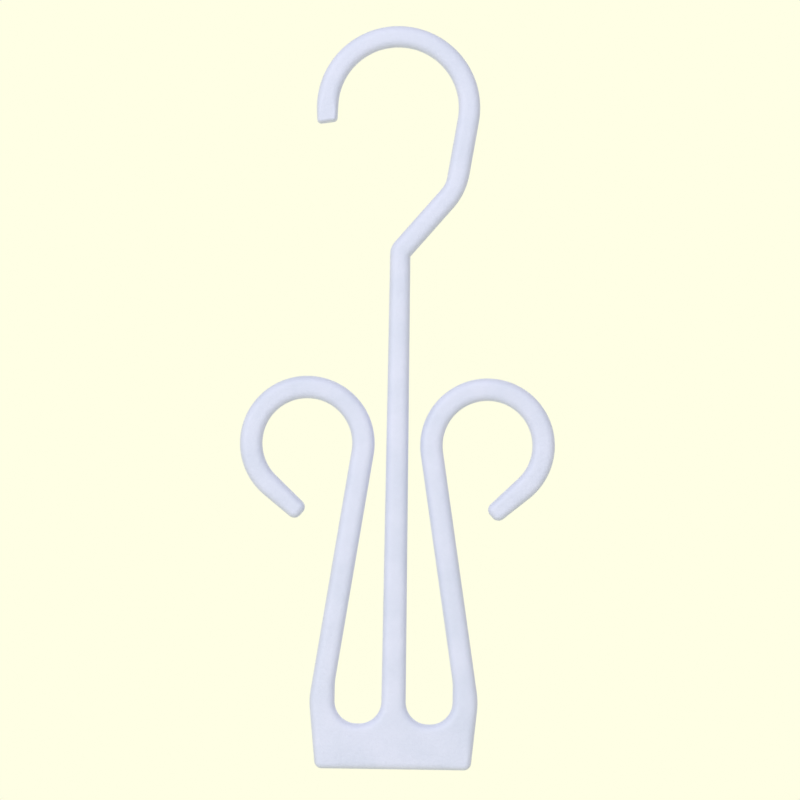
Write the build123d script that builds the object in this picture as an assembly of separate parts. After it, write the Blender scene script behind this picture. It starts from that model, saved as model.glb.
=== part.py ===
from build123d import *

import os
from math import acos, atan2, degrees

# Shoe hook: one injection moulding that hangs from a display rail and holds a pair of shoes.
# The origin is the centre of the rail hook, on the rail's own axis. +Z is up, +X is to the right
# as the buyer sees it, and the front faces -Y. Lengths are in millimetres, angles in degrees.
# The outline is drawn lying flat, with Y up the part, and the moulding is stood up at the end.

# Section of the moulding: its thickness, the flat crown that its oval edges leave at the narrowest place,
# and how much larger the radius of an end's corner is than the depth of the edge that goes round it
thickness = 4.8
crown_width = 1.5
corner_clear = 0.3

# Rail hook, from its free end over the rail and down the throat and the neck
hook_radius = 17.2
hook_width = 5.1
hook_tip_run = 3.9
hook_tip_width = 4.75
throat_lean = 9.4
throat_bend = 3.2
neck_lean = 40.7
neck_foot_drop = 34.9
neck_crook = 0.5
neck_elbow = 4.5

# Stem, which stands a little to the right of the rail's axis and widens downwards
stem_offset = 0.95
stem_top_width = 4.8
stem_foot_width = 5.85

# Shoe hooks, one on each side of the stem, with tails that turn back in towards their legs
loop_radius = 13.6
loop_width = 5.35
loop_drop = 81.6
loop_gap = 2.95
tail_sweep = 48.5
tail_run = 10.4
tail_tip_width = 4.5

# Plate at the foot, which joins the stem and both legs below two round notches
foot_drop = 160.3
plate_height = 10.9
plate_draw = 1.65
shoulder_width = 40.9
shoulder_height = 16.6
shoulder_round = 18.0
horn_width = 6.1
horn_rise = 4.6
horn_round = 15.0
notch_flat = 0.5

full_turn = 360


def down(lean):
    """Direction of a rod that runs down and leans to the left by this angle."""
    return Vector(0, -1).rotate(Axis.Z, -lean)


def right_of(lean):
    """Direction square to that rod, towards its right side."""
    return Vector(1, 0).rotate(Axis.Z, -lean)


def crossing(first, first_way, second, second_way):
    """Point at which two straight lines cross, each given by a point and a direction."""
    return first + first_way * ((second - first).cross(second_way).Z / first_way.cross(second_way).Z)


def touch_angle(centre, radius, point, side):
    """Angle on a circle at which a line from an outside point touches it, on the side -1 or 1."""
    reach = point - centre
    return degrees(atan2(reach.Y, reach.X)) + side * degrees(acos(radius / reach.length))


def over_the_top(centre, radius, left, right):
    """Arc of a circle that runs clockwise over its top from the left angle to the right one."""
    return CenterArc(centre, radius, left, right - left - full_turn)


def across_stem(point):
    """Mirror image of a point of the outline on the other side of the stem."""
    return Vector(2 * stem_offset - point.X, point.Y)


# Edges: how far their rounding reaches in from the outline, and the radius of the corners at the ends
narrowest = min(hook_width, hook_tip_width, stem_top_width, loop_width, tail_tip_width)
edge_depth = (narrowest - crown_width) / 2
end_round = edge_depth + corner_clear

# Stem: a slender wedge from the neck down to the floor of the notches
notch_floor = plate_height - foot_drop
neck_foot = Vector(stem_offset, -neck_foot_drop)
stem_top_right = neck_foot + Vector(stem_top_width / 2, 0)
stem_foot_right = Vector(stem_offset + stem_foot_width / 2, notch_floor)
stem_foot_left = across_stem(stem_foot_right)
stem_right_way = stem_foot_right - stem_top_right
stem_left_way = stem_foot_left - across_stem(stem_top_right)

# Rail hook: two arcs about one centre, a tapered free end, and the corners of throat and neck
hook_centre = Vector(0, 0)
hook_outer = hook_radius + hook_width / 2
hook_inner = hook_radius - hook_width / 2
hook_tip = Vector(-hook_radius, -hook_tip_run)
hook_tip_half = Vector(hook_tip_width / 2, 0)
tip_outer_angle = touch_angle(hook_centre, hook_outer, hook_tip - hook_tip_half, -1)
tip_inner_angle = touch_angle(hook_centre, hook_inner, hook_tip + hook_tip_half, -1)
hook_outside = over_the_top(hook_centre, hook_outer, tip_outer_angle, -throat_lean)
hook_inside = over_the_top(hook_centre, hook_inner, tip_inner_angle, -throat_lean)
hook_end = FilletPolyline(
    [hook_outside @ 0, hook_tip - hook_tip_half, hook_tip + hook_tip_half, hook_inside @ 0],
    radius=end_round,
)
neck_half = right_of(neck_lean) * (hook_width / 2)
throat_outer = crossing(hook_outside @ 1, down(throat_lean), neck_foot + neck_half, down(neck_lean))
throat_inner = crossing(hook_inside @ 1, down(throat_lean), neck_foot - neck_half, down(neck_lean))
crook = crossing(neck_foot + neck_half, down(neck_lean), stem_foot_right, stem_right_way)
elbow = crossing(neck_foot - neck_half, down(neck_lean), stem_foot_left, stem_left_way)

# Notch on the right: a U between the stem's foot and the horn in which the leg ends
shoulder = Vector(stem_offset + shoulder_width / 2, shoulder_height - foot_drop)
foot_corner = Vector(shoulder.X - plate_draw, -foot_drop)
foot_middle = Vector(stem_offset, -foot_drop)
notch_corner = Vector(shoulder.X - horn_width, notch_floor)
notch_middle = (stem_foot_right + notch_corner) / 2
notch_round = (notch_corner.X - stem_foot_right.X - notch_flat) / 2
horn = notch_corner + Vector(0, notch_round + horn_rise)

# Shoe hook on the right: two arcs about one centre, which the leg and the tail touch
loop_outer = loop_radius + loop_width / 2
loop_inner = loop_radius - loop_width / 2
stem_beside_loop = crossing(stem_top_right, stem_right_way, Vector(0, -loop_drop), Vector(1, 0))
loop_centre = stem_beside_loop + Vector(loop_gap + loop_outer, 0)
tail_tip = loop_centre + right_of(tail_sweep) * loop_radius + down(tail_sweep) * tail_run
tail_tip_half = right_of(tail_sweep) * (tail_tip_width / 2)
tail_outer_angle = touch_angle(loop_centre, loop_outer, tail_tip + tail_tip_half, 1)
tail_inner_angle = touch_angle(loop_centre, loop_inner, tail_tip - tail_tip_half, 1)
leg_outer_angle = touch_angle(loop_centre, loop_outer, horn, -1)
leg_inner_angle = touch_angle(loop_centre, loop_inner, shoulder, -1)
loop_outside = over_the_top(loop_centre, loop_outer, leg_outer_angle, tail_outer_angle)
loop_inside = over_the_top(loop_centre, loop_inner, leg_inner_angle, tail_inner_angle)
arm = [
    FilletPolyline(notch_middle, notch_corner, horn, loop_outside @ 0, radius=[notch_round, horn_round]),
    loop_outside,
    FilletPolyline(
        [loop_outside @ 1, tail_tip + tail_tip_half, tail_tip - tail_tip_half, loop_inside @ 1],
        radius=end_round,
    ),
    loop_inside,
    FilletPolyline(loop_inside @ 0, shoulder, foot_corner, foot_middle, radius=[shoulder_round, end_round]),
]

# Outline: the rail hook and the stem down to both notches, the two arms and the foot's edge
right_run = FilletPolyline(
    [hook_outside @ 1, throat_outer, crook, stem_foot_right, notch_middle],
    radius=[throat_bend + hook_width, neck_crook, notch_round],
)
left_run = FilletPolyline(
    [hook_inside @ 1, throat_inner, elbow, stem_foot_left, across_stem(notch_middle)],
    radius=[throat_bend, neck_elbow, notch_round],
)
other_arm = [mirror(line, about=Plane.YZ.offset(stem_offset)) for line in arm]
outline = Curve() + [hook_outside, hook_inside, hook_end, right_run, left_run, *arm, *other_arm]

# Moulding: half an oval from front to back, carried round the outline, and the flats that close it
rim_path = make_face(outline).face().outer_wire()
outward = (hook_outside @ 1 - hook_centre).normalized()
section = Plane(hook_outside @ 1 - outward * edge_depth, x_dir=outward, z_dir=hook_outside % 1)
half_oval = EllipticalCenterArc(
    (0, 0), edge_depth, thickness / 2, start_angle=-full_turn / 4, arc_size=full_turn / 2
)
rim = sweep(section * half_oval, path=rim_path)
flats = [make_face(rim.edges().group_by(Axis.Z)[side]).face() for side in (0, -1)]
shoe_hook = Plane.XZ * Solid(Shell(rim.faces() + flats))

os.makedirs("parts", exist_ok=True)
export_step(shoe_hook, "parts/shoe_hook.step")
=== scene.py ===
import bpy
import numpy as np
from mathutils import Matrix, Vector, geometry


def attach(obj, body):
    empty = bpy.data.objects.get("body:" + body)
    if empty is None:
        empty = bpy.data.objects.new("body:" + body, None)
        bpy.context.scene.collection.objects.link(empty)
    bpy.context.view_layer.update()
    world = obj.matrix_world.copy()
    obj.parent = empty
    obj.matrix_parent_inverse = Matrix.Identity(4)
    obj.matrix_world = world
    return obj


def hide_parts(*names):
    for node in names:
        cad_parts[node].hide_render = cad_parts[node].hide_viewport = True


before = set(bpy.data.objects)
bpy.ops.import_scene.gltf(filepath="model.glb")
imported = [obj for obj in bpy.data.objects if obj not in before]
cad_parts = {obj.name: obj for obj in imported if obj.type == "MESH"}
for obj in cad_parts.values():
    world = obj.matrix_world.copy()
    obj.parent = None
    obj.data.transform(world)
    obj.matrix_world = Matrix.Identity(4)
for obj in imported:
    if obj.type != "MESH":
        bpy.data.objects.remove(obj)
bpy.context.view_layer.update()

# The shoe hook is one flat injection moulding, seen from the front. Sizes are in millimetres and angles in
# degrees. A point of its outline is a complex number, x + iz: x to the right and z up from the centre of the
# rail hook.
MM = 0.001

# Section of the moulding: half its thickness, how far its rounding reaches in from the outline along the
# rods, what share of a corner's radius it reaches at the ends and how near to them that begins, how square
# the rounding is (2 is an ellipse), and the ridge that is left where the mould parts
HALF_THICKNESS = 2.4
ROD_REACH = 2.1
END_SHARE = 0.89
END_ZONE = 7.0
SQUARENESS = 2.5
SEAM_HEIGHT = 0.05
SEAM_WIDTH = 0.15

# Rail hook, throat and neck
HOOK_RADIUS = 17.2
HOOK_WIDTH = 5.1
HOOK_TIP_RUN = 3.9
HOOK_TIP_WIDTH = 4.75
HOOK_TIP_SLANT = 8.0
HOOK_TIP_ROUND = 1.0
THROAT_LEAN = 9.4
THROAT_BEND = 16.5
THROAT_HOLLOW = 6.0
NECK_LEAN = 40.7
NECK_FOOT_DROP = 34.9
NECK_CROOK = 0.5
NECK_ELBOW = 4.5

# Stem
STEM_OFFSET = 0.95
STEM_TOP_WIDTH = 4.8
STEM_FOOT_WIDTH = 5.85

# Shoe hooks and their tails
LOOP_RADIUS = 13.6
LOOP_WIDTH = 5.35
LOOP_DROP = 81.6
LOOP_GAP = 2.95
TAIL_SWEEP = 48.5
TAIL_RUN = 10.4
TAIL_TIP_WIDTH = 4.5

# Plate at the foot, with its two notches
FOOT_DROP = 160.3
PLATE_HEIGHT = 10.9
PLATE_DRAW = 1.65
SHOULDER_WIDTH = 40.9
SHOULDER_HEIGHT = 16.6
SHOULDER_ROUND = 18.0
HORN_WIDTH = 6.1
HORN_RISE = 4.6
HORN_ROUND = 15.0
NOTCH_FLAT = 0.5

# Corners of the tails and of the foot
END_ROUND = 1.8

# Marks that the mould leaves on the back of the plate, each a profile of radius and height: the rings round
# the two ejector pins, to each side of the stem's axis, and the stub of the gate where the melt came in
PIN_MARK = [(1.95, 2.0), (1.95, 2.45), (1.87, 2.57), (1.7, 2.59), (1.56, 2.54), (1.46, 2.41)]
PIN_SPREAD = 12.0
PIN_DROP = 154.2
GATE_MARK = [(1.15, 2.0), (1.1, 2.4), (0.95, 2.6), (0.8, 2.74), (0.6, 2.78), (0.3, 2.72)]
GATE_DROP = 153.4

# Fineness of the meshes: the longest step along the outline, the widest step round a bend, the rows from the
# parting line to the crest, the rows beside the parting line in widths of its ridge, and the points round a
# mark
RUN_STEP = 0.8
BEND_STEP = 4.0
PROFILE_ROWS = 14
SEAM_ROWS = np.array([0.4, 0.9, 1.5, 2.3])
MARK_SPOKES = 40

# Which triangles Blender's triangulation gives back: those inside the line that it is given
INSIDE_ONLY = 1

# Polypropylene: the tints of its clouds, the roughness that goes with them, and the size, octaves, crispness
# and range of their noise. Then the size, octaves, depth and strength of the sinks and of the grain, which is
# really about 0.08 mm and is drawn this coarse so that it shows.
POLYPROPYLENE_IOR = 1.49
CLOUD_TINTS = ("#D6DCF3", "#DFE3FA")
CLOUD_ROUGHNESS = (0.38, 0.47)
CLOUD_SIZE = 9.0
CLOUD_OCTAVES = 3.0
CLOUD_CRISPNESS = 0.55
CLOUD_RANGE = (0.3, 0.7)
SINK_SIZE = 6.0
SINK_OCTAVES = 1.0
SINK_DEPTH = 0.25
SINK_STRENGTH = 0.2
GRAIN_SIZE = 0.7
GRAIN_OCTAVES = 2.0
GRAIN_DEPTH = 0.11
GRAIN_STRENGTH = 0.9

# Backdrop paper: the colour that the camera sees and the one that throws light back, how much light is added
# for the camera, how matt it is, and where it fades out, as shares of the floor's radius
PAPER = "#FFFFE5"
PAPER_SHADED = "#E6E6CF"
PAPER_LIFT = 0.2
PAPER_ROUGHNESS = 0.95
PAPER_SPECULAR = 0.1
PAPER_FADE = (0.3, 0.97)

# Floor of that paper, well below the part
FLOOR_HEIGHT = -370.0
FLOOR_RADIUS = 1200.0
FLOOR_RINGS = 24
FLOOR_SPOKES = 96

# Light: an even white surround, a large soft lamp at the front, to the left and above, and a weaker one
# behind. A lamp is the way to it from about the middle of the part, its distance and size in metres, its
# power in watts, and whether it is reflected: the one behind is not, or it would draw a bright line along
# the edges.
SURROUND = 0.54
LAMP_AIM = Vector((0, 0, -0.08))
LAMPS = {
    "front_lamp": dict(way=(-0.34, -0.9, 0.33), distance=1.3, size=1.8, power=11.1, reflected=True),
    "back_lamp": dict(way=(0.12, 0.95, 0.27), distance=1.3, size=1.2, power=8.2, reflected=False),
}

# Camera: the middle and width of its frame, its turn, because the part hangs a little askew, and its lens
# and sensor
FRAME_MIDDLE = (1.41, -70.82)
FRAME_WIDTH = 193.9
FRAME_TURN = 0.865
LENS = 135.0
SENSOR = 36.0

# Sockets of a Mix node that mixes colours: its share, the two colours, and the result
MIX_SHARE, MIX_FIRST, MIX_SECOND, MIX_RESULT = 0, 6, 7, 2


# Directions and points of the outline


def down(lean):
    """Direction of a rod that runs down and leans to the left by this angle."""
    return -1j * np.exp(-1j * np.radians(lean))


def right_of(lean):
    """Direction square to that rod, towards its right side."""
    return np.exp(-1j * np.radians(lean))


def cross(first, second):
    """Cross product of two directions of the plane."""
    return (first.conjugate() * second).imag


def crossing(first, first_way, second, second_way):
    """Point at which two straight lines cross, each given by a point and a direction."""
    return first + first_way * cross(second - first, second_way) / cross(first_way, second_way)


def touch_angle(centre, radius, point, side):
    """Angle, in radians, at which a line from an outside point touches a circle, on the side -1 or 1."""
    return np.angle(point - centre) + side * np.arccos(radius / abs(point - centre))


def other_side(point):
    """Mirror image of a point on the other side of the stem."""
    return 2 * STEM_OFFSET - point.conjugate()


# Bends of the outline. A bend is a centre, a radius, the angle at which it starts and the angle that it turns
# through, which is positive to the left. Both are in radians. The straight runs lie between one bend and the
# next.


def over_the_top(centre, radius, left, right):
    """Bend that runs clockwise over the top of a circle from the left angle to the right one."""
    return centre, radius, left, right - left - 2 * np.pi


def rounded(before, at, after, radius):
    """Bend that rounds the corner of two straight runs: its circle touches both of them."""
    come = (at - before) / abs(at - before)
    leave = (after - at) / abs(after - at)
    turn = np.angle(leave / come)
    start = at - come * radius * np.tan(abs(turn) / 2)
    centre = start + 1j * come * np.sign(turn) * radius
    return centre, radius, np.angle(start - centre), turn


def backwards(bend):
    """The same bend, run from its end to its start."""
    centre, radius, start, turn = bend
    return centre, radius, start + turn, -turn


def across_stem(bend):
    """Mirror image of a bend on the other side of the stem, run so that the outline stays clockwise."""
    centre, radius, start, turn = bend
    return other_side(centre), radius, np.pi - start - turn, turn


def start_of(bend):
    """Point at which a bend starts: its centre and a radius at its first angle."""
    centre, radius, start, _ = bend
    return centre + radius * np.exp(1j * start)


def end_of(bend):
    """Point at which a bend ends."""
    return start_of(backwards(bend))


# Stem: a slender wedge, given by its right side from the height of the neck's foot to the notch's floor
NECK_FOOT = STEM_OFFSET - 1j * NECK_FOOT_DROP
STEM_TOP = NECK_FOOT + STEM_TOP_WIDTH / 2
STEM_FOOT = STEM_OFFSET + STEM_FOOT_WIDTH / 2 + 1j * (PLATE_HEIGHT - FOOT_DROP)
STEM_WAY = STEM_FOOT - STEM_TOP


def rail_hook():
    """Bends from the hook's outside down to the stem, and those from the stem's left side to the free end.

    The hook is two arcs about one centre. Lines that touch them run to the tapered free end on the left, and
    on the right down the throat to a knee, from which the neck leads to the stem."""
    outer = HOOK_RADIUS + HOOK_WIDTH / 2
    inner = HOOK_RADIUS - HOOK_WIDTH / 2
    tip = -HOOK_RADIUS - 1j * HOOK_TIP_RUN
    tip_half = HOOK_TIP_WIDTH / 2 * (1 + 1j * np.tan(np.radians(HOOK_TIP_SLANT)))
    tip_outside = tip - tip_half
    tip_inside = tip + tip_half
    throat = -np.radians(THROAT_LEAN)
    outside = over_the_top(0, outer, touch_angle(0, outer, tip_outside, -1), throat)
    inside = over_the_top(0, inner, touch_angle(0, inner, tip_inside, -1), throat)

    neck_way = down(NECK_LEAN)
    neck_half = right_of(NECK_LEAN) * HOOK_WIDTH / 2
    knee_outside = crossing(end_of(outside), down(THROAT_LEAN), NECK_FOOT + neck_half, neck_way)
    knee_inside = crossing(end_of(inside), down(THROAT_LEAN), NECK_FOOT - neck_half, neck_way)
    stem_foot_left = other_side(STEM_FOOT)
    crook = crossing(NECK_FOOT + neck_half, neck_way, STEM_FOOT, STEM_WAY)
    elbow = crossing(NECK_FOOT - neck_half, neck_way, stem_foot_left, -STEM_WAY.conjugate())

    to_stem = [
        outside,
        rounded(end_of(outside), knee_outside, crook, THROAT_BEND),
        rounded(knee_outside, crook, STEM_FOOT, NECK_CROOK),
    ]
    from_stem = [
        rounded(stem_foot_left, elbow, knee_inside, NECK_ELBOW),
        rounded(elbow, knee_inside, end_of(inside), THROAT_HOLLOW),
        backwards(inside),
        rounded(start_of(inside), tip_inside, tip_outside, HOOK_TIP_ROUND),
        rounded(tip_inside, tip_outside, start_of(outside), HOOK_TIP_ROUND),
    ]
    return to_stem, from_stem


def right_arm():
    """Bends from the notch beside the stem, over the shoe hook and its tail, to the corner of the foot.

    The shoe hook is two arcs about one centre, with lines that touch them along the leg and the tail. The
    notch is a U between the stem and the horn in which the leg ends."""
    shoulder = STEM_OFFSET + SHOULDER_WIDTH / 2 + 1j * (SHOULDER_HEIGHT - FOOT_DROP)
    foot_corner = shoulder.real - PLATE_DRAW - 1j * FOOT_DROP
    foot_middle = STEM_OFFSET - 1j * FOOT_DROP
    notch_corner = shoulder.real - HORN_WIDTH + 1j * STEM_FOOT.imag
    notch_round = (notch_corner.real - STEM_FOOT.real - NOTCH_FLAT) / 2
    horn = notch_corner + 1j * (notch_round + HORN_RISE)

    outer = LOOP_RADIUS + LOOP_WIDTH / 2
    inner = LOOP_RADIUS - LOOP_WIDTH / 2
    centre = crossing(STEM_TOP, STEM_WAY, -1j * LOOP_DROP, 1 + 0j) + LOOP_GAP + outer
    tip = centre + right_of(TAIL_SWEEP) * LOOP_RADIUS + down(TAIL_SWEEP) * TAIL_RUN
    tip_half = right_of(TAIL_SWEEP) * TAIL_TIP_WIDTH / 2
    tip_outside = tip + tip_half
    tip_inside = tip - tip_half
    outside = over_the_top(
        centre, outer, touch_angle(centre, outer, horn, -1), touch_angle(centre, outer, tip_outside, 1)
    )
    inside = over_the_top(
        centre, inner, touch_angle(centre, inner, shoulder, -1), touch_angle(centre, inner, tip_inside, 1)
    )
    return [
        rounded(STEM_TOP, STEM_FOOT, notch_corner, notch_round),
        rounded(STEM_FOOT, notch_corner, horn, notch_round),
        rounded(notch_corner, horn, start_of(outside), HORN_ROUND),
        outside,
        rounded(end_of(outside), tip_outside, tip_inside, END_ROUND),
        rounded(tip_outside, tip_inside, end_of(inside), END_ROUND),
        backwards(inside),
        rounded(start_of(inside), shoulder, foot_corner, SHOULDER_ROUND),
        rounded(shoulder, foot_corner, foot_middle, END_ROUND),
    ]


def outline_points(bends):
    """Points along the outline and, at each, the direction straight out of the material.

    Round a bend a point is the centre plus the radius along a turning spoke, and the way out is that spoke,
    or its opposite where the outline turns left. A straight run shares its points out evenly and keeps the
    way out of the bend before it."""
    points, outward = [], []
    for bend, following in zip(bends, bends[1:] + bends[:1]):
        centre, radius, start, turn = bend
        steps = int(np.ceil(max(abs(turn) / np.radians(BEND_STEP), radius * abs(turn) / RUN_STEP)))
        spoke = np.exp(1j * (start + turn * np.linspace(0, 1, steps + 1)))
        bend_points = centre + radius * spoke
        bend_outward = -np.sign(turn) * spoke
        run = start_of(following) - bend_points[-1]
        inside = int(abs(run) / RUN_STEP)
        share = np.arange(1, inside + 1) / (inside + 1)
        points += [bend_points, bend_points[-1] + run * share]
        outward += [bend_outward, np.full(inside, bend_outward[-1])]
    return np.concatenate(points), np.concatenate(outward)


# Meshes


def smooth(low, high, value):
    """0 below low, 1 above high, and the cubic 3s^2 - 2s^3 of the share s between them."""
    share = np.clip((value - low) / (high - low), 0, 1)
    return share * share * (3 - 2 * share)


def mesh_piece(name, points, faces, material):
    """A finished piece at the origin, from points in millimetres and faces as lists of point numbers."""
    mesh = bpy.data.meshes.new(name)
    mesh.from_pydata(points * MM, [], faces)
    mesh.shade_smooth()
    mesh.materials.append(material)
    piece = bpy.data.objects.new(name, mesh)
    bpy.context.scene.collection.objects.link(piece)
    return piece


def grid_faces(along, across):
    """Four-sided faces of a grid that closes on itself along its first parameter."""
    first = np.arange(along)[:, None] * across + np.arange(across - 1)
    second = np.roll(first, -1, axis=0)
    return np.stack([first, first + 1, second + 1, second], axis=-1).reshape(-1, 4).tolist()


def filled(line):
    """Triangles that fill a closed line: those whose circles hold no other of its points, cut at the line."""
    spots = np.stack([line.real, line.imag], axis=-1).tolist()
    ring = list(range(len(spots)))
    _, _, triangles, sources, _, _ = geometry.delaunay_2d_cdt(spots, [], [ring], INSIDE_ONLY, 0)
    return np.array([source[0] for source in sources])[np.array(triangles)]


def moulded_hook(material):
    """The whole moulding: half a squared oval carried round the outline, and the two crests that close it.

    At the angle a from the parting line the surface stands at half the thickness times sin(a)^(2/n) and is
    set in from the outline by the reach times 1 - cos(a)^(2/n), with n the squareness. The reach is shorter
    near the ends, down to a share of their corners' radius. The parting line is a ridge of the form
    exp(-(y/w)^2)."""
    to_stem, from_stem = rail_hook()
    arm = right_arm()
    bends = [*to_stem, *arm, *[across_stem(bend) for bend in reversed(arm)], *from_stem]
    outline, outward = outline_points(bends)

    ends = [bend for bend in bends if bend[1] in (END_ROUND, HOOK_TIP_ROUND)]
    corner = np.array([centre for centre, *_ in ends])
    corner_radius = np.array([radius for _, radius, *_ in ends])
    away = abs(outline[:, None] - corner)
    least = END_SHARE * corner_radius
    reach = (least + (ROD_REACH - least) * smooth(corner_radius, END_ZONE, away)).min(axis=1)

    beside_seam = np.arcsin((SEAM_ROWS * SEAM_WIDTH / HALF_THICKNESS) ** (SQUARENESS / 2))
    angle = np.sort(np.append(beside_seam, np.linspace(0, np.pi / 2, PROFILE_ROWS)[1:]))
    angle = np.concatenate([-angle[::-1], [0], angle])
    depth = HALF_THICKNESS * np.sign(angle) * abs(np.sin(angle)) ** (2 / SQUARENESS)
    inset = 1 - np.clip(np.cos(angle), 0, 1) ** (2 / SQUARENESS)
    seam = SEAM_HEIGHT * np.exp(-((depth / SEAM_WIDTH) ** 2))
    place = outline[:, None] + outward[:, None] * (seam - reach[:, None] * inset)
    points = np.stack([place.real, np.broadcast_to(-depth, place.shape), place.imag], axis=-1)

    along, across = place.shape
    crest = filled(place[:, 0]) * across
    faces = grid_faces(along, across) + crest[:, ::-1].tolist() + (crest + across - 1).tolist()
    return mesh_piece("shoe_hook_moulding", points.reshape(-1, 3), faces, material)


def turned_marks(name, profile, centres, material):
    """Small round marks on the back: a profile of radius and height turned about an axis at each centre.

    A point is the centre plus the radius along a turning spoke, at the height behind the middle of the part.
    The first and the last ring are closed by a flat face."""
    radius, height = np.array(profile).T
    spoke = np.exp(1j * np.linspace(0, 2 * np.pi, MARK_SPOKES, endpoint=False))
    spot = np.array(centres)[:, None, None] + spoke[:, None] * radius
    points = np.stack([spot.real, np.broadcast_to(height, spot.shape), spot.imag], axis=-1)
    along, across = len(spoke), len(radius)
    ring = np.arange(along) * across
    shell = grid_faces(along, across) + [ring.tolist(), (ring + across - 1)[::-1].tolist()]
    firsts = range(0, len(centres) * along * across, along * across)
    faces = [[first + number for number in face] for first in firsts for face in shell]
    return mesh_piece(name, points.reshape(-1, 3), faces, material)


def floor_disc(material):
    """Round floor: rings of points at growing radius about the vertical axis, closed at its middle."""
    ring = np.linspace(0, FLOOR_RADIUS, FLOOR_RINGS + 1)[1:]
    turn = np.linspace(0, 2 * np.pi, FLOOR_SPOKES, endpoint=False)
    spot = np.exp(1j * turn)[:, None] * ring
    points = np.stack([spot.real, spot.imag, np.full(spot.shape, FLOOR_HEIGHT)], axis=-1)
    middle = (np.arange(FLOOR_SPOKES) * FLOOR_RINGS).tolist()
    return mesh_piece("floor", points.reshape(-1, 3), grid_faces(*spot.shape) + [middle], material)


# Materials


def linear(code):
    """Linear colour of an sRGB hex value, by that standard's own curve, with full opacity."""
    share = np.array([int(code[i : i + 2], 16) for i in (1, 3, 5)]) / 255
    return (*np.where(share <= 0.04045, share / 12.92, ((share + 0.055) / 1.055) ** 2.4), 1)


def add(tree, kind, inputs, **settings):
    """Adds a node. Settings are its own properties, and an input is a value or another node's output."""
    made = tree.nodes.new(kind)
    for name, value in settings.items():
        setattr(made, name, value)
    for socket, value in inputs.items():
        if isinstance(value, bpy.types.NodeSocket):
            tree.links.new(value, made.inputs[socket])
        else:
            made.inputs[socket].default_value = value
    return made


def moulded_polypropylene():
    """Unfilled polypropylene from a spark-eroded mould: a pale bluish white with a soft satin sheen, faintly
    clouded where the melt flowed, and a fine even grain that spreads every highlight."""
    material = bpy.data.materials.new("polypropylene_moulded_satin")
    material.use_nodes = True
    tree = material.node_tree
    shader = tree.nodes["Principled BSDF"]
    shader.inputs["IOR"].default_value = POLYPROPYLENE_IOR
    place = add(tree, "ShaderNodeTexCoord", {}).outputs["Object"]

    # Clouds of the melt, which change the tint and the gloss a little
    flow = add(
        tree,
        "ShaderNodeTexNoise",
        {
            "Vector": place,
            "Scale": 1 / (CLOUD_SIZE * MM),
            "Detail": CLOUD_OCTAVES,
            "Roughness": CLOUD_CRISPNESS,
        },
    )
    cloud = add(
        tree,
        "ShaderNodeMapRange",
        {"Value": flow.outputs["Fac"], "From Min": CLOUD_RANGE[0], "From Max": CLOUD_RANGE[1]},
    ).outputs["Result"]
    tint = add(
        tree,
        "ShaderNodeMix",
        {MIX_SHARE: cloud, MIX_FIRST: linear(CLOUD_TINTS[0]), MIX_SECOND: linear(CLOUD_TINTS[1])},
        data_type="RGBA",
    )
    tree.links.new(tint.outputs[MIX_RESULT], shader.inputs["Base Color"])
    gloss = add(
        tree,
        "ShaderNodeMapRange",
        {"Value": cloud, "To Min": CLOUD_ROUGHNESS[0], "To Max": CLOUD_ROUGHNESS[1]},
    )
    tree.links.new(gloss.outputs["Result"], shader.inputs["Roughness"])

    # Shallow sinks where the plastic shrank, and on them the grain of the mould
    sinks = add(
        tree,
        "ShaderNodeTexNoise",
        {"Vector": place, "Scale": 1 / (SINK_SIZE * MM), "Detail": SINK_OCTAVES},
    )
    waves = add(
        tree,
        "ShaderNodeBump",
        {"Height": sinks.outputs["Fac"], "Strength": SINK_STRENGTH, "Distance": SINK_DEPTH * MM},
    )
    grain = add(
        tree,
        "ShaderNodeTexNoise",
        {"Vector": place, "Scale": 1 / (GRAIN_SIZE * MM), "Detail": GRAIN_OCTAVES},
    )
    bump = add(
        tree,
        "ShaderNodeBump",
        {
            "Height": grain.outputs["Fac"],
            "Strength": GRAIN_STRENGTH,
            "Distance": GRAIN_DEPTH * MM,
            "Normal": waves.outputs["Normal"],
        },
    )
    tree.links.new(bump.outputs["Normal"], shader.inputs["Normal"])
    return material


def backdrop_paper():
    """Matt cream paper that lies under the object and fades out towards its edge into the same cream.

    It throws back a little less light than it shows to the camera, so that the object's undersides stay
    dark."""
    material = bpy.data.materials.new("backdrop_paper_matt")
    material.use_nodes = True
    tree = material.node_tree
    shader = tree.nodes["Principled BSDF"]
    shader.inputs["Base Color"].default_value = linear(PAPER_SHADED)
    shader.inputs["Roughness"].default_value = PAPER_ROUGHNESS
    shader.inputs["Specular IOR Level"].default_value = PAPER_SPECULAR
    shader.inputs["Emission Color"].default_value = linear(PAPER)
    seen = add(tree, "ShaderNodeLightPath", {}).outputs["Is Camera Ray"]
    shown = add(tree, "ShaderNodeMath", {0: seen, 1: PAPER_LIFT}, operation="MULTIPLY")
    tree.links.new(shown.outputs[0], shader.inputs["Emission Strength"])

    # Distance from the vertical axis, along which the paper fades
    place = add(tree, "ShaderNodeTexCoord", {}).outputs["Object"]
    flat = add(tree, "ShaderNodeVectorMath", {0: place, 1: (1, 1, 0)}, operation="MULTIPLY")
    away = add(tree, "ShaderNodeVectorMath", {0: flat.outputs[0]}, operation="LENGTH")
    begin, end = np.array(PAPER_FADE) * FLOOR_RADIUS * MM
    fade = add(
        tree,
        "ShaderNodeMapRange",
        {"Value": away.outputs["Value"], "From Min": begin, "From Max": end},
        interpolation_type="SMOOTHSTEP",
    )
    clear = add(tree, "ShaderNodeBsdfTransparent", {})
    both = add(
        tree,
        "ShaderNodeMixShader",
        {0: fade.outputs["Result"], 1: shader.outputs["BSDF"], 2: clear.outputs["BSDF"]},
    )
    tree.links.new(both.outputs[0], tree.nodes["Material Output"].inputs["Surface"])
    return material


# Studio


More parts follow.
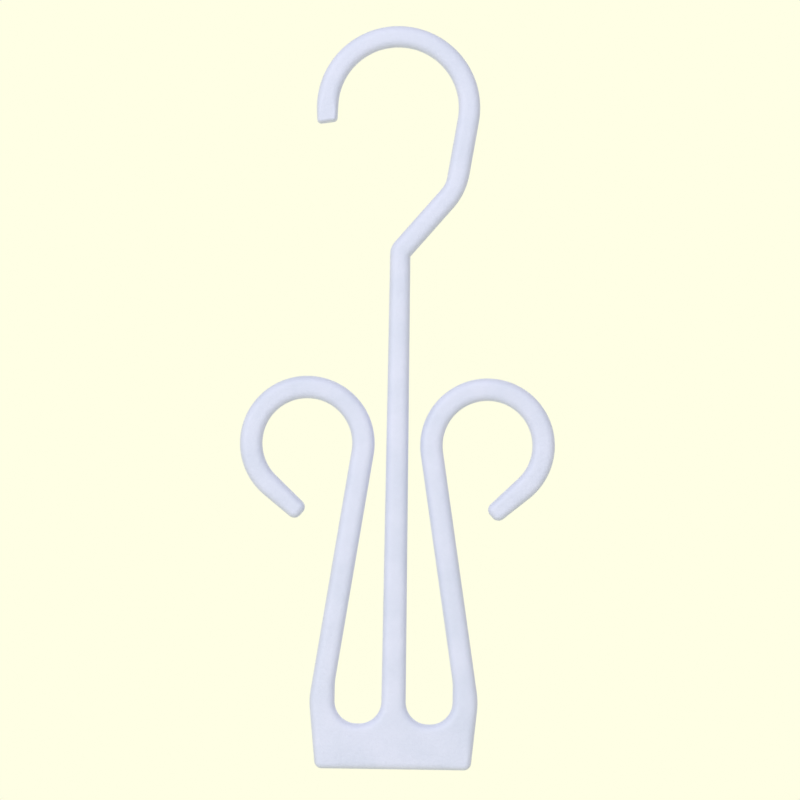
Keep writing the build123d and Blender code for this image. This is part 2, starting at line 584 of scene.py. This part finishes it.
def studio_surround():
    """Even white light from all round. The camera sees cream paper there instead, and so do reflections and
    whatever lets light through."""
    world = bpy.data.worlds.new("studio")
    world.use_nodes = True
    tree = world.node_tree
    path = add(tree, "ShaderNodeLightPath", {}).outputs
    passed_on = add(
        tree,
        "ShaderNodeMath",
        {0: path["Is Glossy Ray"], 1: path["Is Transmission Ray"]},
        operation="MAXIMUM",
    )
    seen = add(
        tree,
        "ShaderNodeMath",
        {0: path["Is Camera Ray"], 1: passed_on.outputs[0]},
        operation="MAXIMUM",
    )
    surround = tree.nodes["Background"]
    surround.inputs["Color"].default_value = (1, 1, 1, 1)
    surround.inputs["Strength"].default_value = SURROUND
    backdrop = add(tree, "ShaderNodeBackground", {"Color": linear(PAPER), "Strength": 1.0})
    shown = add(
        tree,
        "ShaderNodeMixShader",
        {0: seen.outputs[0], 1: surround.outputs[0], 2: backdrop.outputs[0]},
    )
    tree.links.new(shown.outputs[0], tree.nodes["World Output"].inputs["Surface"])
    bpy.context.scene.world = world


def soft_lamp(name, way, distance, size, power, reflected):
    """Round area lamp that stands this way and this far from the part and looks at it."""
    light = bpy.data.lights.new(name, "AREA")
    light.shape = "DISK"
    light.size = size
    light.energy = power
    lamp = bpy.data.objects.new(name, light)
    lamp.location = LAMP_AIM + Vector(way).normalized() * distance
    lamp.rotation_euler = Vector(way).to_track_quat("Z", "Y").to_euler()
    lamp.visible_glossy = reflected
    bpy.context.scene.collection.objects.link(lamp)


def front_camera():
    """Camera that looks level and square on to the front, as far off as its lens needs for its frame."""
    lens = bpy.data.cameras.new("camera")
    lens.lens = LENS
    lens.sensor_width = SENSOR
    camera = bpy.data.objects.new("camera", lens)
    camera.location = Vector((FRAME_MIDDLE[0], -FRAME_WIDTH * LENS / SENSOR, FRAME_MIDDLE[1])) * MM
    camera.rotation_euler = (np.pi / 2, np.radians(-FRAME_TURN), 0)
    bpy.context.scene.collection.objects.link(camera)
    return camera


# Pieces

polypropylene = moulded_polypropylene()
pin_places = [STEM_OFFSET - PIN_SPREAD - 1j * PIN_DROP, STEM_OFFSET + PIN_SPREAD - 1j * PIN_DROP]
gate_places = [STEM_OFFSET - 1j * GATE_DROP]
hook = moulded_hook(polypropylene)
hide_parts("shoe_hook")
for piece in (
    hook,
    turned_marks("ejector_pin_marks", PIN_MARK, pin_places, polypropylene),
    turned_marks("gate_stub", GATE_MARK, gate_places, polypropylene),
):
    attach(piece, "root")
floor_disc(backdrop_paper())

# Light and camera

studio_surround()
for name, settings in LAMPS.items():
    soft_lamp(name, **settings)
bpy.context.scene.camera = front_camera()
bpy.context.scene.view_settings.view_transform = "Standard"
